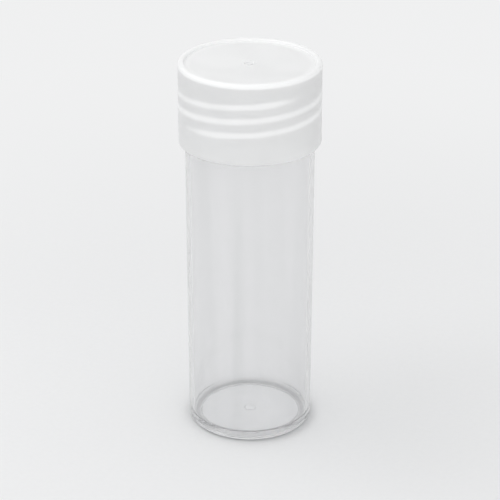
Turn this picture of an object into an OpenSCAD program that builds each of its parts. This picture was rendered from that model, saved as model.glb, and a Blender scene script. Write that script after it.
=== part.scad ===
// Round coin tube: a clear tube for a stack of coins, with a threaded neck, and its screw-on cap.
// Millimetres. The middle of the foot is the origin, and the tube stands up along +Z.

/* [Coins] */
// Diameter of the coin that the tube holds
coin_d = 24.26; // [17:0.01:41]
// Thickness of one coin
coin_t = 1.75; // [1.2:0.01:3]
// Number of coins in a full stack
coin_count = 40; // [15:1:50]
// Play across the coin at the foot of the bore
coin_play = 0.4; // [0.3:0.05:1]
// Free height above a full stack, so that the top coins can be picked out
stack_spare = 8.5; // [2:0.5:12]

/* [Tube] */
// Thickness of the clear wall
wall_t = 1; // [0.9:0.05:1.5]
// Growth of the tube's radius from foot to shoulder, which frees it from its mould
tube_draft = 0.25; // [0:0.05:0.4]
// Thickness of the floor
floor_t = 1.4; // [1:0.1:2.2]
// Rounding of the corner between floor and bore
floor_r = 0.8; // [0.3:0.1:1.2]
// Height of the standing ring under the floor
foot_h = 0.5; // [0.3:0.1:1]
// Width of the standing ring
foot_w = 1.2; // [0.8:0.1:2]
// Rounding of the foot's outer edge
foot_r = 1.4; // [0.5:0.1:1.7]
// Step on the radius from the body in to the neck
neck_step = 0.25; // [0.1:0.05:0.3]
// Rounding of the mouth's two edges
mouth_r = 0.25; // [0.1:0.05:0.3]

/* [Thread] */
// Height between neighbouring ridges on the neck
thread_pitch = 3; // [2.6:0.1:4]
// Number of ridges that wind side by side
thread_starts = 2; // [1:1:3]
// Height that each ridge climbs from end to end
thread_rise = 7.2; // [4:0.2:8]
// Depth of the ridges' upper ends below the mouth
thread_depth = 2.6; // [2:0.1:4]
// How far a ridge stands out from the neck
thread_h = 0.5; // [0.3:0.05:0.6]
// Width of a ridge where it leaves the neck
thread_w = 1.4; // [1:0.1:1.6]
// Gap between the ridges and the cap's side wall
thread_play = 0.1; // [0.05:0.05:0.2]

/* [Cap] */
// Height of the cap from its lower edge to its raised rim
cap_h = 17.4; // [16.4:0.2:22]
// Thickness of the cap's side wall at the top
skirt_t = 0.9; // [0.8:0.05:1.5]
// Growth of the cap's radius from its top to its lower edge
cap_draft = 0.08; // [0:0.02:0.2]
// Rounding of the two lower edges
hem_r = 0.3; // [0.1:0.05:0.35]
// How far the lower edge hangs below the tube's shoulder
hem_drop = 2; // [0.6:0.1:2.5]
// Thickness of the cap's top
lid_t = 1.3; // [1:0.1:2]
// Rounding of the top's outer edge
lid_r = 0.7; // [0.3:0.1:0.8]
// Rounding of the inner corner between top and side wall
corner_r = 0.4; // [0.2:0.05:0.45]
// Height of the raised rim round the top
rim_h = 0.6; // [0.4:0.1:1]
// Width of the raised rim
rim_w = 1.3; // [1.2:0.1:2]
// Rounding of the rim's inner edge
rim_r = 0.35; // [0.1:0.05:0.35]

/* [Moulding marks] */
// Diameter of the gate mark in the middle of each piece
gate_d = 2.4; // [1.5:0.1:4]
// Depth of the cap's dimple round its gate
dimple_depth = 0.3; // [0.1:0.1:0.6]
// Length of the gate's stub under the tube's floor
stub_h = 0.25; // [0.1:0.05:0.3]

/* [Hidden] */

// Sides of the turned surfaces
round_fn = 96;
// Steps of a ridge in one turn
turn_steps = 36;
// How far a cut runs past what it cuts, and how deep a ridge's root sits in the neck
over = 0.2;
// Width of the crest as a share of the ridge's, and height of the crest's edges as a share of the ridge's
crest_share = 0.35;
brow_share = 0.8;
// Share of a ridge's length over which each end swells out, and size of the section at the very tip
swell_share = 0.1;
tip_share = 0.14;

// Tube, from the bore outwards and from the foot upwards
bore_r = (coin_d + coin_play) / 2;
body_r = bore_r + wall_t;
shoulder_r = body_r + tube_draft;
neck_r = shoulder_r - neck_step;
mouth_in_r = bore_r + tube_draft;
floor_z = foot_h + floor_t;
mouth_z = floor_z + coin_count * coin_t + stack_spare;

// Cap, from the neck's ridges outwards and from the mouth that it sits on
skirt_in_r = neck_r + thread_h + thread_play;
cap_r = skirt_in_r + skirt_t;
hem_out_r = cap_r + cap_draft;
lid_z = mouth_z + lid_t;
top_z = lid_z + rim_h;
hem_z = top_z - cap_h;
shoulder_z = hem_z + hem_drop;

// Thread: a ridge climbs one lead in a turn, and rises anticlockwise as a right-hand thread does
thread_lead = thread_pitch * thread_starts;
thread_turns = thread_rise / thread_lead;
thread_z = mouth_z - thread_depth - thread_rise;

// What rounds off a convex corner at the origin, with the piece on the -X and -Y side
module corner_cut(r) {
    translate([-r, -r])
        difference() {
            square(r + over);
            circle(r, $fn = round_fn);
        }
}

// Half section from the axis out to a wall that leans from one radius to another
module half_section(low_r, high_r, h) {
    polygon([[0, 0], [low_r, 0], [high_r, h], [0, h]]);
}

// Section across a ridge, as [distance out from the neck, height]: a root sunk in the wall, two
// flanks and a rounded crest. size scales it about the middle of its root
function ridge_section(size) =
    let (
        crest_w = thread_w * crest_share,
        brow_h = thread_h * brow_share,
        flank_slope = (thread_w - crest_w) / 2 / brow_h,
        root_w = thread_w + 2 * flank_slope * over
    )
    [
        [-over, -size * root_w / 2],
        [size * (over + brow_h) - over, -size * crest_w / 2],
        [size * (over + thread_h) - over, 0],
        [size * (over + brow_h) - over, size * crest_w / 2],
        [-over, size * root_w / 2]
    ];

// Size of the section at a share of the ridge's length. It swells out of the wall from each tip
function swell(share) =
    min(1, tip_share + (1 - tip_share) * min(share, 1 - share) / swell_share);

// One helical ridge on the neck, from its lower tip at the origin's height
module ridge() {
    steps = ceil(thread_turns * turn_steps);
    points = [
        for (i = [0:steps], p = ridge_section(swell(i / steps)))
            let (angle = 360 * thread_turns * i / steps, r = neck_r + p[0])
                [r * cos(angle), r * sin(angle), thread_rise * i / steps + p[1]]
    ];
    n = len(points) / (steps + 1);
    sides = [
        for (i = [0:steps - 1], j = [0:n - 1])
            let (a = i * n + j, b = i * n + (j + 1) % n)
                for (face = [[a, b, b + n], [a, b + n, a + n]]) face
    ];
    lower_tip = [for (j = [1:n - 2]) [0, j + 1, j]];
    upper_tip = [for (j = [1:n - 2]) [steps * n, steps * n + j, steps * n + j + 1]];
    polyhedron(points, concat(sides, lower_tip, upper_tip));
}

// The neck's thread. The first ridge starts half a step round from the +X side
module neck_thread() {
    for (i = [0:thread_starts - 1])
        translate([0, 0, thread_z])
            rotate([0, 0, 360 * i / thread_starts + 180 / turn_steps])
                ridge();
}

// Half section of the tube's outside: rounded foot, leaning body, shoulder and neck
module tube_outside() {
    difference() {
        union() {
            half_section(body_r, shoulder_r, shoulder_z);
            translate([0, shoulder_z])
                half_section(shoulder_r, neck_r, neck_step);
            square([neck_r, mouth_z]);
        }
        translate([body_r, 0])
            mirror([0, 1])
                corner_cut(foot_r);
        translate([neck_r, mouth_z])
            corner_cut(mouth_r);
    }
}

// Half section of the bore, with a rounded floor corner and a rounded inner edge at the mouth
module tube_bore() {
    difference() {
        translate([0, floor_z])
            half_section(bore_r, mouth_in_r, mouth_z - floor_z);
        translate([bore_r, floor_z])
            mirror([0, 1])
                corner_cut(floor_r);
    }
    translate([0, mouth_z])
        square([mouth_in_r, over]);
    translate([mouth_in_r, mouth_z])
        mirror([1, 0])
            corner_cut(mouth_r);
}

// Half section of the clear tube, with its standing ring and the stub of its gate
module tube_section() {
    difference() {
        tube_outside();
        tube_bore();
        translate([0, -over])
            square([body_r - foot_r - foot_w, foot_h + over]);
    }
    translate([0, foot_h - stub_h])
        square([gate_d / 2, stub_h + over]);
}

// The clear tube, with the thread on its neck
module tube_body() {
    color([0.86, 0.88, 0.89, 0.45])
        union() {
            rotate_extrude($fn = round_fn)
                tube_section();
            neck_thread();
        }
}

// Half section of the cap's outside: rounded lower and upper edges, and a top sunk in its rim
module cap_outside() {
    difference() {
        translate([0, hem_z])
            half_section(hem_out_r, cap_r, cap_h);
        translate([hem_out_r, hem_z])
            mirror([0, 1])
                corner_cut(hem_r);
        translate([cap_r, top_z])
            corner_cut(lid_r);
        translate([0, lid_z])
            square([cap_r - rim_w, rim_h + over]);
        translate([cap_r - rim_w, top_z])
            mirror([1, 0])
                corner_cut(rim_r);
    }
}

// Half section of the cap's hollow, which clears the ridges and ends on the mouth
module cap_hollow() {
    difference() {
        translate([0, hem_z])
            square([skirt_in_r, mouth_z - hem_z]);
        translate([skirt_in_r, mouth_z])
            corner_cut(corner_r);
    }
    translate([0, hem_z - over])
        square([skirt_in_r, over]);
    translate([skirt_in_r, hem_z])
        mirror([1, 0])
            mirror([0, 1])
                corner_cut(hem_r);
}

// The cap: a smooth skirt round the neck, and a sunken top with a dimple round its gate
module screw_cap() {
    color([0.93, 0.94, 0.94, 0.85])
        rotate_extrude($fn = round_fn)
            difference() {
                cap_outside();
                cap_hollow();
                translate([0, lid_z - dimple_depth])
                    square([gate_d / 2, dimple_depth + over]);
            }
}

tube_body();
screw_cap();
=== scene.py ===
import math

import bmesh
import bpy
import numpy as np
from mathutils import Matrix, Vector


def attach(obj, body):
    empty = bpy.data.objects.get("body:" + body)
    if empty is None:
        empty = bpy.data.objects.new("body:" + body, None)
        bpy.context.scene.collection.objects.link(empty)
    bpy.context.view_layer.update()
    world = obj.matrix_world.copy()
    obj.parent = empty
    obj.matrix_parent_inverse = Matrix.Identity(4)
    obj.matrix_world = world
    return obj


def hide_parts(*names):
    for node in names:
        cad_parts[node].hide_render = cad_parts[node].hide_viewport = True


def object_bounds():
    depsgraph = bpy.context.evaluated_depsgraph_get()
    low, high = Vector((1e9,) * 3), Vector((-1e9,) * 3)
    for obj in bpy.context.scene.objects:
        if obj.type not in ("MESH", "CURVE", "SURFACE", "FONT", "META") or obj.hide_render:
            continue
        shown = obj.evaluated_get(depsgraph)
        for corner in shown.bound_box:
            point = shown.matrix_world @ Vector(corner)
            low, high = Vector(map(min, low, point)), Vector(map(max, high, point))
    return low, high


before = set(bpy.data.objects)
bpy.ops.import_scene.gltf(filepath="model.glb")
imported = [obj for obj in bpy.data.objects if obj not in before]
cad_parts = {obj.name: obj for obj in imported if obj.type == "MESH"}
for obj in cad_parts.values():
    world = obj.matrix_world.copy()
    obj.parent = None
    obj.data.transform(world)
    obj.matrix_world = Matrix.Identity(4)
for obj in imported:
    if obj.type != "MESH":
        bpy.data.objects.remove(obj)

cad_box = [list(corner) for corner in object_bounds()]

# Driving dimensions, as in the part's source
COIN_D = 24.26
COIN_T = 1.75
COIN_COUNT = 40
COIN_PLAY = 0.4
STACK_SPARE = 8.5
WALL_T = 1.0
TUBE_DRAFT = 0.25
FLOOR_T = 1.4
FLOOR_R = 0.8
FOOT_H = 0.5
FOOT_W = 1.2
FOOT_R = 1.4
NECK_STEP = 0.25
MOUTH_R = 0.25
THREAD_PITCH = 3.0
THREAD_STARTS = 2
THREAD_RISE = 7.2
THREAD_DEPTH = 2.6
THREAD_H = 0.5
THREAD_W = 1.4
THREAD_PLAY = 0.1
CAP_H = 17.4
SKIRT_T = 0.9
CAP_DRAFT = 0.08
HEM_R = 0.3
HEM_DROP = 2.0
LID_T = 1.3
LID_R = 0.7
CORNER_R = 0.4
RIM_H = 0.6
RIM_W = 1.3
RIM_R = 0.35
GATE_D = 2.4
DIMPLE_DEPTH = 0.3
STUB_H = 0.25

# Tube, from the bore outwards and from the foot upwards
BORE_R = (COIN_D + COIN_PLAY) / 2
BODY_R = BORE_R + WALL_T
SHOULDER_R = BODY_R + TUBE_DRAFT
NECK_R = SHOULDER_R - NECK_STEP
MOUTH_IN_R = BORE_R + TUBE_DRAFT
FOOT_IN_R = BODY_R - FOOT_R - FOOT_W
FLOOR_Z = FOOT_H + FLOOR_T
MOUTH_Z = FLOOR_Z + COIN_COUNT * COIN_T + STACK_SPARE

# Cap, from the neck's ridges outwards and from the mouth that it sits on
SKIRT_IN_R = NECK_R + THREAD_H + THREAD_PLAY
CAP_R = SKIRT_IN_R + SKIRT_T
HEM_OUT_R = CAP_R + CAP_DRAFT
RIM_IN_R = CAP_R - RIM_W
LID_Z = MOUTH_Z + LID_T
TOP_Z = LID_Z + RIM_H
HEM_Z = TOP_Z - CAP_H
SHOULDER_Z = HEM_Z + HEM_DROP

# Screw ridges, each from its lower tip: two on the neck, and two in the cap that start lower and
# further round, hang just under them and run on a little longer
THREAD_LEAD = THREAD_PITCH * THREAD_STARTS
NECK_START = math.radians(5)
CAP_START_LOWER = 0.25
CAP_START_AHEAD = math.radians(36)
CAP_EXTRA_TURNS = 0.16
NECK_RIDGE = {
    "low_z": MOUTH_Z - THREAD_DEPTH - THREAD_RISE,
    "turns": THREAD_RISE / THREAD_LEAD,
    "start": NECK_START,
}
CAP_RIDGE = {
    "low_z": NECK_RIDGE["low_z"] - CAP_START_LOWER,
    "turns": NECK_RIDGE["turns"] + CAP_EXTRA_TURNS,
    "start": NECK_RIDGE["start"] + CAP_START_AHEAD,
}

# Half the width of a ridge's crest, how soon its flanks round off, its size at the tips, and the
# share of its length over which each end swells
CREST_HALF = 0.2
FLANK_EASE = 0.92
TIP_SIZE = 0.35
SWELL_SHARE = 0.08

# Small edges and marks that the source leaves out
STUB_EDGE = 0.08
FOOT_EDGE = 0.12
SHOULDER_EDGE = 0.06
SUNK_EDGE = 0.2
DIMPLE_EDGE = 0.1
NUB_R = 0.5
NUB_H = 0.2

# Milky plastic: its thickness in the corner of skirt and top, where it grows towards that, where the
# top takes over from the skirt, and how wide and how strong the ridges' bands are in it
CORNER_T = 2 * LID_T
CORNER_BY_Z = (LID_Z - 0.5, LID_Z + 0.2)
CORNER_BY_R = (RIM_IN_R - 0.7, RIM_IN_R + 0.3)
TOP_BY_R = (CAP_R - 0.9, CAP_R - 1.4)
TOP_ABOVE_Z = MOUTH_Z - 0.5
BAND_SPREAD = 1.45
BAND_SHARE = 0.9

# How finely the meshes are cut
MM = 0.001
SEGMENTS = 240
LONG_STEP = 5.0
LID_STEP = 1.0
BAND_STEP = 0.25
RIDGE_STEP = 0.11
ARC_STEP = 0.11
ARC_TURN = math.radians(22.5)
SHARP_ANGLE = math.radians(38)

# How close to a rounding the next row lies, and how near to a wall counts as on it
SUPPORT = 0.1
HAIR = 0.01


def ramp(value, start, end):
    """Eases from 0 at start to 1 at end, and stays there on either side."""
    share = np.clip((value - start) / (end - start), 0, 1)
    return share * share * (3 - 2 * share)


def between(first, second, share):
    """The value at a share of the way from the first to the second."""
    return first + (second - first) * share


def ridge_height(theta, z, ridge, spread=1.0):
    """How far a screw ridge stands out at each angle and height. spread widens its section."""
    height = np.zeros(np.broadcast(theta, z).shape)
    for start in range(THREAD_STARTS):
        behind = (theta - ridge["start"]) / (2 * math.pi) - start / THREAD_STARTS
        for turn in range(math.ceil(ridge["turns"])):
            turned = behind % 1 + turn
            share = turned / ridge["turns"]
            swell = ramp(np.minimum(share, 1 - share), 0, SWELL_SHARE)
            size = spread * between(TIP_SIZE, 1, swell)
            off = np.abs(z - ridge["low_z"] - THREAD_LEAD * turned)
            flank = 1 - (off - CREST_HALF * size) / ((THREAD_W / 2 - CREST_HALF) * size)
            bump = ramp(flank * FLANK_EASE, 0, 1) * THREAD_H * swell
            height = np.maximum(height, np.where((share > 0) & (share < 1), bump, 0))
    return height


def rounded(before, corner, after, radius):
    """The arc that rounds a corner of a section, as points from one wall to the next."""
    back = (before - corner).normalized()
    ahead = (after - corner).normalized()
    opening = back.angle(ahead)
    turn = math.pi - opening
    steps = max(math.ceil(turn / ARC_TURN), math.ceil(radius * turn / ARC_STEP))
    centre = corner + (back + ahead).normalized() * radius / math.sin(opening / 2)
    first = corner + back * radius / math.tan(opening / 2) - centre
    side = math.copysign(1, back.x * ahead.y - back.y * ahead.x)
    points = []
    for i in range(steps + 1):
        angle = -side * turn * i / steps
        cos, sin = math.cos(angle), math.sin(angle)
        points.append(centre + Vector((first.x * cos - first.y * sin, first.x * sin + first.y * cos)))
    return points


def section(corners):
    """Rows of a half section from its corners, given as (radius, height, rounding, step). The step
    says how finely the wall after the corner is cut. A row lies close to each rounding, to keep
    walls flat."""
    places = [Vector(corner[:2]) for corner in corners]
    rows = [places[0]]
    for i in range(1, len(places)):
        last = i == len(places) - 1
        rounding = 0 if last else corners[i][2]
        arc = [places[i]] if last else rounded(places[i - 1], places[i], places[i + 1], rounding)
        start, end = rows[-1], arc[0]
        length = (end - start).length
        if length > 4 * SUPPORT:
            pieces = math.ceil((length - 2 * SUPPORT) / corners[i - 1][3])
            shares = np.linspace(SUPPORT / length, 1 - SUPPORT / length, pieces + 1)
            rows += [start.lerp(end, float(share)) for share in shares]
        rows += arc
    return rows


def lathe(name, rows, relief, marks=None):
    """A closed turned mesh from rows that begin and end on the axis. relief(theta, r, z) moves the
    wall outwards, and marks(points) gives a value to keep at each point."""
    theta = np.arange(SEGMENTS) * 2 * math.pi / SEGMENTS
    points, rings = [], []
    for r, z in rows:
        first = len(points)
        if r == 0:
            points.append((0, 0, z))
            rings.append([first] * SEGMENTS)
            continue
        radii = r + relief(theta, r, z)
        points.extend(zip(radii * np.cos(theta), radii * np.sin(theta), np.full(SEGMENTS, z)))
        rings.append(list(range(first, first + SEGMENTS)))
    faces = []
    for low, high in zip(rings, rings[1:]):
        for j in range(SEGMENTS):
            k = (j + 1) % SEGMENTS
            face = [low[j], low[k], high[k], high[j]]
            faces.append(tuple(dict.fromkeys(face)))
    points = np.array(points)
    mesh = bpy.data.meshes.new(name)
    mesh.from_pydata((points * MM).tolist(), [], faces)
    mesh.shade_smooth()
    mesh.set_sharp_from_angle(angle=SHARP_ANGLE)
    if marks is not None:
        layer = mesh.attributes.new("depth_mm", "FLOAT", "POINT")
        layer.data.foreach_set("value", marks(points).astype(np.float32))
    mesh.validate()
    piece = bpy.data.objects.new(name, mesh)
    bpy.context.scene.collection.objects.link(piece)
    return piece


def make_tube():
    """The clear tube: standing ring, leaning wall, shoulder, and neck with its two ridges."""
    stub_z = FOOT_H - STUB_H
    stub_r = GATE_D / 2
    rows = section([
        (0, stub_z, 0, LONG_STEP),
        (stub_r, stub_z, STUB_EDGE, LONG_STEP),
        (stub_r, FOOT_H, STUB_EDGE, LONG_STEP),
        (FOOT_IN_R, FOOT_H, FOOT_EDGE, LONG_STEP),
        (FOOT_IN_R, 0, FOOT_EDGE, LONG_STEP),
        (BODY_R, 0, FOOT_R, LONG_STEP),
        (SHOULDER_R, SHOULDER_Z, SHOULDER_EDGE, LONG_STEP),
        (NECK_R, SHOULDER_Z + NECK_STEP, SHOULDER_EDGE, RIDGE_STEP),
        (NECK_R, MOUTH_Z, MOUTH_R, LONG_STEP),
        (MOUTH_IN_R, MOUTH_Z, MOUTH_R, LONG_STEP),
        (BORE_R, FLOOR_Z, FLOOR_R, LONG_STEP),
        (0, FLOOR_Z, 0, LONG_STEP),
    ])

    def relief(theta, r, z):
        return ridge_height(theta, z, NECK_RIDGE) * (r > NECK_R - HAIR)

    return lathe("clear_tube", rows, relief)


def make_cap():
    """The milky cap: skirt with two inner ridges, raised rim, sunken top, and a dimple with the
    nub of its gate."""
    dimple_r = GATE_D / 2
    dimple_z = LID_Z - DIMPLE_DEPTH
    rows = section([
        (0, MOUTH_Z, 0, LONG_STEP),
        (SKIRT_IN_R, MOUTH_Z, CORNER_R, RIDGE_STEP),
        (SKIRT_IN_R, HEM_Z, HEM_R, LONG_STEP),
        (HEM_OUT_R, HEM_Z, HEM_R, BAND_STEP),
        (CAP_R, TOP_Z, LID_R, LONG_STEP),
        (RIM_IN_R, TOP_Z, RIM_R, LONG_STEP),
        (RIM_IN_R, LID_Z, SUNK_EDGE, LID_STEP),
        (dimple_r, LID_Z, DIMPLE_EDGE, LONG_STEP),
        (dimple_r, dimple_z, DIMPLE_EDGE, LONG_STEP),
        (NUB_R, dimple_z, STUB_EDGE, LONG_STEP),
        (NUB_R, dimple_z + NUB_H, STUB_EDGE, LONG_STEP),
        (0, dimple_z + NUB_H, 0, LONG_STEP),
    ])

    def relief(theta, r, z):
        return -ridge_height(theta, z, CAP_RIDGE) * (r < SKIRT_IN_R + HAIR)

    def depth(points):
        """Thickness of milky plastic under each point, with the bands that its ridges make."""
        x, y, z = points.T
        r, theta = np.hypot(x, y), np.arctan2(y, x)
        skirt = HEM_OUT_R - CAP_DRAFT * (z - HEM_Z) / CAP_H - SKIRT_IN_R
        bands = BAND_SHARE * ridge_height(theta, z, CAP_RIDGE, BAND_SPREAD)
        side = between(skirt + bands, CORNER_T, ramp(z, *CORNER_BY_Z))
        top = between(LID_T, CORNER_T, ramp(r, *CORNER_BY_R))
        return between(side, top, ramp(r, *TOP_BY_R) * (z > TOP_ABOVE_Z))

    return lathe("milky_cap", rows, relief, depth)


class Nodes:
    """A node tree, with short ways to add and join nodes."""

    def __init__(self, tree, output):
        self.tree = tree
        self.tree.nodes.clear()
        self.output = self.add(output)

    def add(self, kind, **settings):
        """A new node of a kind, named without the ShaderNode in front."""
        node = self.tree.nodes.new("ShaderNode" + kind)
        for key, value in settings.items():
            setattr(node, key, value)
        return node

    def put(self, value, socket):
        """Links a socket or a node's first output to a socket, or sets a plain value on it."""
        if isinstance(value, bpy.types.Node):
            value = value.outputs[0]
        if isinstance(value, bpy.types.NodeSocket):
            self.tree.links.new(value, socket)
        elif socket.type == "RGBA":
            socket.default_value = (*value, 1)
        else:
            socket.default_value = value

    def filled(self, kind, **inputs):
        """A node with its inputs filled by name. Base_Color stands for Base Color."""
        node = self.add(kind)
        for key, value in inputs.items():
            self.put(value, node.inputs[key.replace("_", " ")])
        return node

    def math(self, operation, *values):
        """The result of a Math node on one or two values."""
        node = self.add("Math", operation=operation)
        for value, socket in zip(values, node.inputs):
            self.put(value, socket)
        return node.outputs[0]

    def span(self, value, low, high, to_low=0.0, to_high=1.0):
        """Eases from one value to another while the input goes from low to high."""
        node = self.add("MapRange", interpolation_type="SMOOTHSTEP")
        for socket, entry in zip(node.inputs, (value, low, high, to_low, to_high)):
            self.put(entry, socket)
        return node.outputs[0]

    def noise(self, scale, detail, stretch=(1, 1, 1), distortion=0.0):
        """Noise from 0 to 1. scale counts its patches in a metre, and a stretch below 1 draws them
        out along that axis."""
        place = self.filled("Mapping", Vector=self.coords(), Scale=stretch)
        node = self.filled("TexNoise", Vector=place, Scale=scale, Detail=detail, Distortion=distortion)
        return node.outputs["Fac"]

    def blend(self, share, first, second):
        """The first colour blended towards the second by a share."""
        node = self.add("Mix", data_type="RGBA")
        colours = [socket for socket in node.inputs if socket.type == "RGBA"]
        self.put(share, node.inputs["Factor"])
        self.put(first, colours[0])
        self.put(second, colours[1])
        return next(socket for socket in node.outputs if socket.type == "RGBA")

    def mix(self, share, first, second):
        """The second shader in place of the first for a share."""
        node = self.add("MixShader")
        for socket, value in zip(node.inputs, (share, first, second)):
            self.put(value, socket)
        return node

    def coords(self):
        """The place on the object, in metres."""
        return self.add("TexCoord").outputs["Object"]

    def axis_parts(self):
        """Height and distance from the axis, in millimetres."""
        x, y, z = self.filled("SeparateXYZ", Vector=self.coords()).outputs
        square = self.math("ADD", self.math("MULTIPLY", x, x), self.math("MULTIPLY", y, y))
        r = self.math("SQRT", square)
        return self.math("DIVIDE", z, MM), self.math("DIVIDE", r, MM)

    def seen(self):
        """1 for the rays that show a surface to the camera, directly, mirrored or through glass."""
        path = self.add("LightPath").outputs
        beyond = self.math("MAXIMUM", path["Is Glossy Ray"], path["Is Transmission Ray"])
        return self.math("MAXIMUM", path["Is Camera Ray"], beyond)


def new_material(name):
    """A new material and its nodes."""
    material = bpy.data.materials.new(name)
    material.use_nodes = True
    return material, Nodes(material.node_tree, "OutputMaterial")


def polystyrene():
    """Clear plastic with a slight haze, faint flow streaks and waves, light scuffs, and a gritty
    foot. The light that falls through it on the floor is only dimmed, most where the wall is met
    edge on and in the foot's thick corner."""
    index, haze = 1.59, 0.1
    streaky = (0.882, 0.882, 0.886), (0.918, 0.918, 0.922)
    thin_film, thick_film = (0.972, 0.974, 0.976), (0.36, 0.365, 0.37)
    polished, scuffed, gritty = 0.012, 0.052, 0.14
    gritty_up_to = 1.6
    streak_window, scuff_window, grit_window = (0.35, 0.65), (0.56, 0.8), (0.45, 0.75)
    wave_depth, line_depth = 0.015 * MM, 0.003 * MM
    edge_on_window, edge_on_share = (0.6, 1.0), 0.6
    corner_z = FLOOR_Z - 0.9, FLOOR_Z + 0.3
    corner_r = FOOT_IN_R - 0.13, FOOT_IN_R + 0.67

    material, s = new_material("clear_polystyrene")
    z, r = s.axis_parts()
    streaks = s.noise(scale=260, detail=2, stretch=(1, 1, 0.03))
    colour = s.blend(s.span(streaks, *streak_window), *streaky)
    scuffs = s.noise(scale=900, detail=3, stretch=(1, 1, 0.06))
    grit = s.span(s.noise(scale=2600, detail=2), *grit_window)
    grit = s.math("MULTIPLY", grit, s.span(z, 0, gritty_up_to, gritty, 0))
    rough = s.math("ADD", s.span(scuffs, *scuff_window, polished, scuffed), grit)
    waves = s.noise(scale=90, detail=1, stretch=(1, 1, 0.1))
    lines = s.noise(scale=1300, detail=1, stretch=(1, 1, 0.012))
    bumps = s.filled("Bump", Height=waves, Distance=wave_depth, Strength=1.0)
    bumps = s.filled("Bump", Height=lines, Distance=line_depth, Strength=1.0, Normal=bumps)
    glass = s.filled("BsdfPrincipled", Base_Color=colour, Roughness=rough, IOR=index,
                     Transmission_Weight=1 - haze, Normal=bumps)

    facing = s.add("LayerWeight").outputs["Facing"]
    grazing = s.span(facing, *edge_on_window, 0, edge_on_share)
    corner = s.math("MULTIPLY", s.span(z, *corner_z, 1, 0), s.span(r, *corner_r))
    dimmed = s.blend(s.math("MAXIMUM", grazing, corner), thin_film, thick_film)
    film = s.filled("BsdfTransparent", Color=dimmed)
    path = s.add("LightPath").outputs
    surface = s.mix(path["Is Shadow Ray"], glass, film)
    surface = s.mix(path["Is Diffuse Ray"], surface, film)
    s.put(surface, s.output.inputs["Surface"])
    return material


def polypropylene():
    """Milky plastic with a soft gloss, paler and denser where it is thick, a little cloudy, and
    with fine turning marks on its top."""
    index, light_inside = 1.49, 0.35
    thin_colour, thick_colour = (0.873, 0.876, 0.875), (0.935, 0.938, 0.936)
    thin, thick_to_look, thick_to_light = 0.85, 1.6, 1.5
    clearest, densest = 0.2, 0.02
    cloudiness = 0.07
    smoothest, roughest = 0.285, 0.35
    cloud_window, rough_window = (0.3, 0.7), (0.35, 0.7)
    scatter = 2.2 * MM
    swell_depth, mark_depth = 0.05 * MM, 0.0008 * MM
    mark_radians_per_mm = 9.0
    marked_z = LID_Z - 0.5, LID_Z - 0.1

    material, s = new_material("milky_polypropylene")
    z, r = s.axis_parts()
    depth = s.add("Attribute", attribute_name="depth_mm", attribute_type="GEOMETRY").outputs["Fac"]
    cloud = s.noise(scale=90, detail=2, distortion=0.6)
    milk = s.math("ADD", depth, s.span(cloud, *cloud_window, -cloudiness, cloudiness))
    colour = s.blend(s.span(milk, thin, thick_to_look), thin_colour, thick_colour)
    clear = s.span(milk, thin, thick_to_light, clearest, densest)
    rough = s.span(s.noise(scale=300, detail=2), *rough_window, smoothest, roughest)
    swells = s.noise(scale=60, detail=1)
    rings = s.math("SINE", s.math("MULTIPLY", r, mark_radians_per_mm))
    rings = s.math("MULTIPLY", rings, s.span(z, *marked_z))
    bumps = s.filled("Bump", Height=swells, Distance=swell_depth, Strength=1.0)
    bumps = s.filled("Bump", Height=rings, Distance=mark_depth, Strength=1.0, Normal=bumps)
    surface = s.filled("BsdfPrincipled", Base_Color=colour, Roughness=rough, IOR=index,
                       Transmission_Weight=clear, Subsurface_Weight=light_inside,
                       Subsurface_Radius=(scatter, scatter, scatter), Subsurface_Scale=1.0,
                       Normal=bumps)
    s.put(surface, s.output.inputs["Surface"])
    return material


def dress(piece, material, body, node):
    """Gives a piece its material and its body, and hides the part of the model that it stands for."""
    piece.data.materials.append(material)
    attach(piece, body)
    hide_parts(node)


dress(make_tube(), polystyrene(), "tube", "tube_body")
dress(make_cap(), polypropylene(), "cap", "screw_cap")

# Stage, light and camera
HEIGHT = cad_box[1][2]
BACKDROP = (0.87, 0.873, 0.877)
FLOOR_REACH = 3.0
FLOOR_SEGMENTS = 96
NEAREST_SEEN = 0.01


def make_floor():
    """Pale paper that takes the object's shadow, and fades into the backdrop around it. It fades
    between two distances from the axis, in millimetres as in the other materials."""
    darker, paler = (0.845, 0.847, 0.85), (0.875, 0.877, 0.88)
    fades = 40, 230

    material, s = new_material("pale_floor")
    away = s.axis_parts()[1]
    paper = s.filled("BsdfDiffuse", Color=s.blend(s.noise(scale=900, detail=3), darker, paler))
    glow = s.filled("Emission", Color=BACKDROP)
    faded = s.math("MULTIPLY", s.span(away, *fades), s.seen())
    s.put(s.mix(faded, paper, glow), s.output.inputs["Surface"])
    mesh = bpy.data.meshes.new("floor")
    disc = bmesh.new()
    bmesh.ops.create_circle(disc, cap_ends=True, segments=FLOOR_SEGMENTS, radius=FLOOR_REACH)
    disc.to_mesh(mesh)
    disc.free()
    mesh.materials.append(material)
    floor = bpy.data.objects.new("floor", mesh)
    bpy.context.scene.collection.objects.link(floor)


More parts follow.
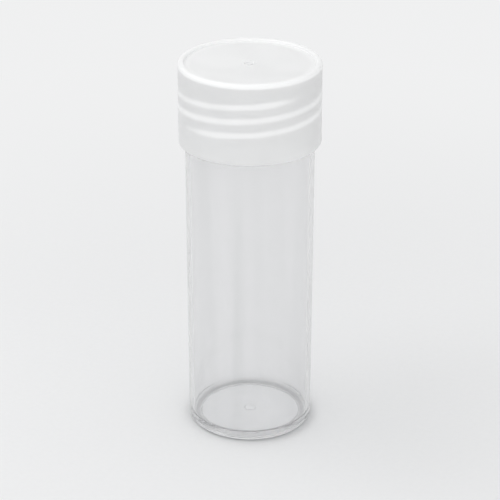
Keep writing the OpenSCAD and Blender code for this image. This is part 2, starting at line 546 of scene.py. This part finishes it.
def make_world(light):
    """Even light from all sides, and the backdrop's colour for the rays that show it."""
    world = bpy.data.worlds.new("studio")
    world.use_nodes = True
    bpy.context.scene.world = world
    s = Nodes(world.node_tree, "OutputWorld")
    daylight = 0.99, 0.995, 1
    lit = s.filled("Background", Color=daylight, Strength=light)
    shown = s.filled("Background", Color=BACKDROP, Strength=1.0)
    s.put(s.mix(s.seen(), lit, shown), s.output.inputs["Surface"])


def turn_to(thing, direction):
    """Turns a lamp or camera to look along a direction, upright."""
    thing.rotation_mode = "QUATERNION"
    thing.rotation_quaternion = direction.to_track_quat("-Z", "Y")


def make_lamp(name, place, size, power, mirrored):
    """A soft rectangular lamp that faces the object, shown in its gloss only if mirrored."""
    data = bpy.data.lights.new(name, "AREA")
    data.shape = "RECTANGLE"
    data.size, data.size_y = size
    data.energy = power
    lamp = bpy.data.objects.new(name, data)
    lamp.location = place
    turn_to(lamp, Vector((0, 0, HEIGHT / 2)) - Vector(place))
    lamp.visible_camera = False
    lamp.visible_glossy = mirrored
    lamp.visible_transmission = mirrored
    bpy.context.scene.collection.objects.link(lamp)


def make_camera(azimuth, elevation, field, distance, aim):
    """A camera that looks at a point from an azimuth, counted from the front, and an elevation."""
    around, up = math.radians(azimuth), math.radians(elevation)
    away = Vector((math.sin(around) * math.cos(up), -math.cos(around) * math.cos(up), math.sin(up)))
    data = bpy.data.cameras.new("camera")
    data.lens = data.sensor_width / 2 / math.tan(math.radians(field) / 2)
    data.clip_start = NEAREST_SEEN
    data.clip_end = 2 * FLOOR_REACH + distance
    camera = bpy.data.objects.new("camera", data)
    camera.location = Vector(aim) + away * distance
    turn_to(camera, -away)
    bpy.context.scene.collection.objects.link(camera)
    bpy.context.scene.camera = camera


make_floor()
make_world(light=0.68)
make_lamp("key", place=(-0.4, -0.15, 0.62), size=(0.6, 0.6), power=1.6, mirrored=True)
make_lamp("fill", place=(0.6, -0.75, 0.45), size=(1.6, 1.0), power=4.4, mirrored=False)
make_camera(azimuth=25, elevation=25, field=14.5, distance=5.1 * HEIGHT, aim=(0, 0, 0.48 * HEIGHT))

scene = bpy.context.scene
scene.view_settings.view_transform = "Standard"
scene.cycles.max_bounces = 32
scene.cycles.transmission_bounces = 32
scene.cycles.glossy_bounces = 16
scene.cycles.diffuse_bounces = 6
scene.cycles.sample_clamp_indirect = 1.5
